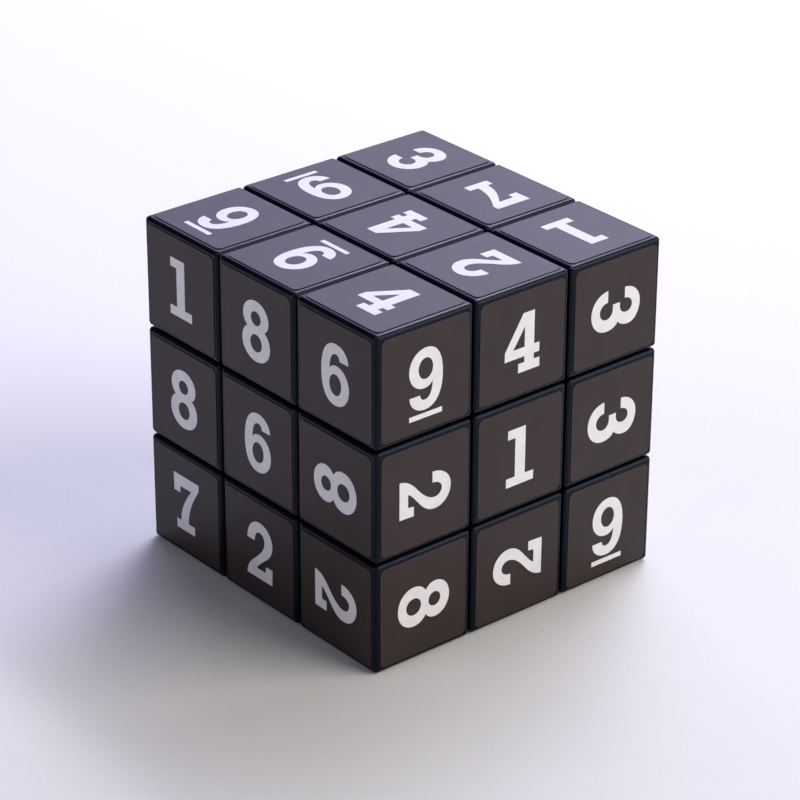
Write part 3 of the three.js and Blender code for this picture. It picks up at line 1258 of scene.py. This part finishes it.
@dataclass
class Stickers:
    """The vinyl stickers and the digits printed on them."""

    side: float = 17.0 * MM
    corner: float = 0.9 * MM
    corner_steps: int = 6
    thickness: float = 0.13 * MM
    lip: float = 0.05 * MM
    print_depth: float = 0.015 * MM
    digit_size: float = 0.98
    shift_spread: float = 0.08 * MM
    twist_spread: float = math.radians(0.25)
    seed: int = 9
    digits: SlabDigits = SlabDigits()

    def plate_tree(self) -> GeometryTree:
        """Builds the tree that cuts a sticker with round corners and a soft upper lip, and lays it.

        Returns:
            The tree.
        """
        desk = GeometryTree("lay_stickers")
        side = desk.takes("Side", "NodeSocketFloat")
        corner = desk.takes("Corner radius", "NodeSocketFloat")
        steps = desk.takes("Corner steps", "NodeSocketInt")
        thickness = desk.takes("Thickness", "NodeSocketFloat")
        lip = desk.takes("Lip", "NodeSocketFloat")
        outline = desk.out("GeometryNodeCurvePrimitiveQuadrilateral", None, {"Width": side, "Height": side})
        bends = {"Curve": outline, "Count": steps, "Radius": corner}
        rounded = desk.out("GeometryNodeFilletCurve", {"mode": "POLY"}, bends)
        sheet = desk.out("GeometryNodeFillCurve", {"mode": "NGONS"}, {"Curve": rounded})
        back = desk.out("GeometryNodeFlipFaces", None, {"Mesh": sheet})
        up = desk.out("ShaderNodeCombineXYZ", None, {"Z": 1.0})
        rising = {"Mesh": sheet, "Offset": up, "Offset Scale": thickness - lip, "Individual": False}
        wall = desk.node("GeometryNodeExtrudeMesh", {"mode": "FACES"}, rising)
        narrowing = {
            "Mesh": Signal(desk, wall.outputs["Mesh"]),
            "Selection": Signal(desk, wall.outputs["Top"]),
            "Offset": up,
            "Offset Scale": lip,
            "Individual": False,
        }
        crown = desk.node("GeometryNodeExtrudeMesh", {"mode": "FACES"}, narrowing)
        drawn_in = {
            "Geometry": Signal(desk, crown.outputs["Mesh"]),
            "Selection": Signal(desk, crown.outputs["Top"]),
            "Scale": 1 - 2 * (lip / side),
        }
        soft = desk.out("GeometryNodeScaleElements", {"domain": "FACE"}, drawn_in)
        join = desk.node("GeometryNodeJoinGeometry")
        for part in (back, soft):
            desk.tree.links.new(part.socket, join.inputs[0])
        whole = {"Geometry": Signal(desk, join.outputs[0]), "Distance": MERGE}
        desk.lay(desk.out("GeometryNodeMergeByDistance", None, whole), {})
        return desk

    def digit_tree(self) -> GeometryTree:
        """Builds the tree that lays the digit that each place asks for.

        Returns:
            The tree.
        """
        desk = GeometryTree("lay_digits")
        digits = desk.takes("Digits", "NodeSocketCollection")
        sockets = {"Collection": digits, "Separate Children": True, "Reset Children": True}
        parts = desk.out("GeometryNodeCollectionInfo", None, sockets)
        desk.lay(parts, {"Pick Instance": True, "Instance Index": desk.attribute("pick", "INT")})
        return desk

    def cut_digits(self) -> bpy.types.Collection:
        """Makes the nine digits as thin closed plates.

        Returns:
            A collection of them, in order.
        """
        tray = bpy.data.collections.new("digit_tray")
        depth = self.print_depth / MM
        seat = Matrix.Scale(self.digit_size * MM, 4) @ Matrix.Translation((0, 0, depth / 2))
        for number, outlines in enumerate(self.digits.shapes(), start=1):
            curve = bpy.data.curves.new("outline", "CURVE")
            curve.dimensions = "2D"
            curve.fill_mode = "BOTH"
            curve.resolution_u = self.digits.curve_steps
            curve.extrude = depth / 2
            for pen in outlines:
                pen.spline(curve)
            flat = bpy.data.objects.new("outline", curve)
            bpy.context.scene.collection.objects.link(flat)
            mesh = plain_mesh(flat)
            bpy.data.objects.remove(flat)
            bpy.data.curves.remove(curve)
            mesh.transform(seat)
            tray.objects.link(bpy.data.objects.new(f"digit_{number}", mesh))
        return tray

    def dress(self, maker: PieceMaker) -> None:
        """Lays all the stickers and digits, one mesh of each for every body.

        Args:
            maker: What settles the pieces.
        """
        hand = random.Random(self.seed)
        groups: dict[str, list[tuple[Matrix, int]]] = {}
        for square in Square.every():
            shift = Vector((hand.uniform(-1, 1), hand.uniform(-1, 1))) * self.shift_spread
            place = square.place(maker.grid, shift, hand.uniform(-1, 1) * self.twist_spread)
            groups.setdefault(square.body, []).append((place, square.digit - 1))
        plates, prints, tray = self.plate_tree(), self.digit_tree(), self.cut_digits()
        sizes = {
            "Side": self.side,
            "Corner radius": self.corner,
            "Corner steps": self.corner_steps,
            "Thickness": self.thickness,
            "Lip": self.lip,
            "Material": maker.materials[Slot.STICKER],
        }
        ink = {"Digits": tray, "Material": maker.materials[Slot.DIGIT_PRINT]}
        for body, laid in groups.items():
            places = [place for place, _ in laid]
            picks = [pick for _, pick in laid]
            raised = [place @ Matrix.Translation((0, 0, self.thickness)) for place in places]
            maker.settle(f"stickers_{body}", plates.run(places, picks, sizes), body, Slot.STICKER)
            maker.settle(f"digits_{body}", prints.run(raised, picks, ink), body, Slot.DIGIT_PRINT)
        for part in list(tray.objects):
            bpy.data.objects.remove(part)
        bpy.data.collections.remove(tray)


@dataclass
class CentreSprings:
    """The six compression springs under the centre screws' heads."""

    wire: float = 0.35 * MM
    turns: float = 5.0
    closing: float = 0.35
    turn_steps: int = 32
    wire_sides: int = 12

    def tree(self) -> GeometryTree:
        """Builds the tree that winds a spring and stands it on each place.

        Returns:
            The tree.
        """
        desk = GeometryTree("wind_springs")
        radius = desk.takes("Coil radius", "NodeSocketFloat")
        height = desk.takes("Coil height", "NodeSocketFloat")
        wire = desk.takes("Wire radius", "NodeSocketFloat")
        turns = desk.takes("Turns", "NodeSocketFloat")
        closing = desk.takes("End closing", "NodeSocketFloat")
        steps = desk.takes("Steps", "NodeSocketInt")
        sides = desk.takes("Wire sides", "NodeSocketInt")
        line = desk.out("GeometryNodeCurvePrimitiveLine", None, {"End": (0.0, 0.0, 1.0)})
        fine = desk.out("GeometryNodeResampleCurve", None, {"Curve": line, "Count": steps})
        along = desk.out("GeometryNodeSplineParameter", output="Factor")
        angle = along * turns * math.tau
        climb = along + closing * (along.rise(0.0, 1.0) - along)
        helix = {"X": radius * angle.cosine(), "Y": radius * angle.sine(), "Z": height * (climb - 0.5)}
        spot = desk.out("ShaderNodeCombineXYZ", None, helix)
        coil = desk.out("GeometryNodeSetPosition", None, {"Geometry": fine, "Position": spot})
        section = desk.out("GeometryNodeCurvePrimitiveCircle", None, {"Resolution": sides, "Radius": wire})
        sweep = {"Curve": coil, "Profile Curve": section, "Fill Caps": True}
        desk.lay(desk.out("GeometryNodeCurveToMesh", None, sweep), {})
        return desk

    def dress(self, frame: dict, maker: PieceMaker) -> None:
        """Winds the springs on the core.

        Args:
            frame: The loaded frame.
            maker: What settles the pieces.
        """
        low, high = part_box("spring_top")
        length = high.z - low.z
        lifts = {joint["name"]: joint for joint in frame["record"]["behaviour"]["joints"]}
        tree = self.tree()
        inputs = {
            "Coil radius": (high.x - low.x) / 2 - self.wire,
            "Coil height": length - 2 * self.wire,
            "Wire radius": self.wire,
            "Turns": self.turns,
            "End closing": self.closing,
            "Steps": int(self.turns * self.turn_steps) + 1,
            "Wire sides": self.wire_sides,
            "Material": maker.materials[Slot.STEEL],
        }
        for face in Face:
            side = face.name.lower()
            lowest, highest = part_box(f"spring_{side}")
            middle = (lowest + highest) / 2
            turn = face.outward.to_track_quat("Z", "Y").to_matrix().to_4x4()
            mesh = tree.run([Matrix.Translation(middle) @ turn], [0], inputs)
            mesh.polygons.foreach_set("use_smooth", [True] * len(mesh.polygons))
            coil = maker.settle(f"spring_{side}_coil", mesh, "core", Slot.STEEL, (f"spring_{side}",))
            lift = lifts[f"{side}_centre_lift"]
            keep = 1 - lift["range_m"][1] / length
            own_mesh(coil)


@dataclass(frozen=True)
class Softbox:
    """A flat studio light that points at the cube, by its direction, distance, size and brightness."""

    name: str
    direction: Triple
    distance: float
    size: tuple[float, float]
    radiance: float
    colour: Triple
    upright: Triple = (0.0, 0.0, 1.0)

    def hang(self, target: Vector) -> None:
        """Puts the light up.

        Args:
            target: What it points at.
        """
        lamp = bpy.data.lights.new(self.name, "AREA")
        lamp.shape = "RECTANGLE"
        lamp.size, lamp.size_y = self.size
        lamp.energy = self.radiance * math.pi * self.size[0] * self.size[1]
        lamp.color = self.colour
        light = bpy.data.objects.new(self.name, lamp)
        aim = Vector(self.direction).normalized()
        right = Vector(self.upright).cross(aim).normalized()
        axes = Matrix((right, aim.cross(right), aim)).transposed().to_4x4()
        light.matrix_world = Matrix.Translation(target + aim * self.distance) @ axes
        light.visible_camera = False
        bpy.context.scene.collection.objects.link(light)


@dataclass
class Studio:
    """The pale floor, the soft lights and the camera at the photograph's angle."""

    floor_radius: float = 1.2
    floor_sides: int = 96
    ambient: Colour = (0.06, 0.058, 0.064, 1.0)
    backdrop: Colour = (0.95, 0.95, 0.97, 1.0)
    azimuth: float = math.radians(50.05)
    elevation: float = math.radians(26.79)
    distance: float = 523.9 * MM
    roll: float = math.radians(0.28)
    slide_right: float = -0.05 * MM
    slide_up: float = -1.59 * MM
    lens: float = 148.2
    sensor: float = 36.0
    lights: tuple[Softbox, ...] = (
        Softbox("back_panel", (-0.684, 0.578, 0.444), 1.1, (1.0, 1.0), 2.35, (0.63, 0.62, 1.0)),
        Softbox("back_strip", (-0.35, 0.62, 0.7), 1.1, (0.6, 0.6), 4.8, (0.79, 0.8, 1.0)),
        Softbox(
            "edge_strip", (-0.2, 0.574, 0.78), 1.1, (0.09, 0.75), 14.5, (0.88, 0.86, 1.0), (0.96, 0.0, 0.28)
        ),
        Softbox("right_back", (1.0, 0.7, 0.6), 1.5, (1.3, 1.3), 3.75, (1.0, 0.95, 0.87)),
        Softbox("front_fill", (-0.2, -1.0, 0.5), 1.4, (1.2, 1.2), 0.7, (0.88, 0.83, 1.0)),
    )

    def lay_floor(self) -> None:
        """Lays the floor under the lowest point of the cube."""
        shape = bmesh.new()
        bmesh.ops.create_circle(shape, cap_ends=True, radius=self.floor_radius, segments=self.floor_sides)
        mesh = bpy.data.meshes.new("floor")
        shape.to_mesh(mesh)
        shape.free()
        mesh.transform(Matrix.Translation((0, 0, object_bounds()[0].z)))
        mesh.materials.append(FLOOR_PAPER.make())
        floor = bpy.data.objects.new("floor", mesh)
        bpy.context.scene.collection.objects.link(floor)
        floor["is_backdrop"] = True

    def light(self, grid: CubeGrid) -> None:
        """Hangs the lights and gives the room a dim even glow, which the camera sees as a pale backdrop.

        Args:
            grid: The cube's squares, whose middle the lights point at.
        """
        for box in self.lights:
            box.hang(grid.centre)
        world = bpy.data.worlds.new("room")
        world.use_nodes = True
        desk = NodeDesk(world.node_tree)
        desk.tree.nodes.clear()
        seen = desk.out("ShaderNodeLightPath", output="Is Camera Ray")
        room = desk.tint(seen, self.ambient, self.backdrop)
        glow = desk.out("ShaderNodeBackground", None, {"Color": room})
        desk.node("ShaderNodeOutputWorld", None, {"Surface": glow})
        bpy.context.scene.world = world
        bpy.context.scene.view_settings.view_transform = "Standard"

    def aim(self, grid: CubeGrid) -> None:
        """Sets up the camera.

        Args:
            grid: The cube's squares, whose middle the camera goes round.
        """
        level = math.cos(self.elevation)
        across, along = math.sin(self.azimuth), -math.cos(self.azimuth)
        back = Vector((across * level, along * level, math.sin(self.elevation)))
        right = Vector((0, 0, 1)).cross(back).normalized()
        axes = Matrix((right, back.cross(right), back)).transposed().to_4x4()
        turned = axes @ Matrix.Rotation(self.roll, 4, "Z")
        optics = bpy.data.cameras.new("camera")
        optics.lens = self.lens
        optics.sensor_width = self.sensor
        camera = bpy.data.objects.new("camera", optics)
        slide = Matrix.Translation((self.slide_right, self.slide_up, self.distance))
        camera.matrix_world = Matrix.Translation(grid.centre) @ turned @ slide
        bpy.context.scene.collection.objects.link(camera)
        bpy.context.scene.camera = camera

    def dress(self, grid: CubeGrid) -> None:
        """Sets the whole studio up.

        Args:
            grid: The cube's squares.
        """
        self.lay_floor()
        self.light(grid)
        self.aim(grid)


def main() -> None:
    """Loads the frame, dresses the cube and sets up the studio."""
    logging.basicConfig(level=logging.INFO, format="%(name)s: %(message)s")
    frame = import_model()
    grid = CubeGrid.from_frame()
    maker = PieceMaker(grid)
    Mouldings().dress(frame, maker)
    CentreSprings().dress(frame, maker)
    Stickers().dress(maker)
    Studio().dress(grid)


if __name__ == "__main__":
    main()
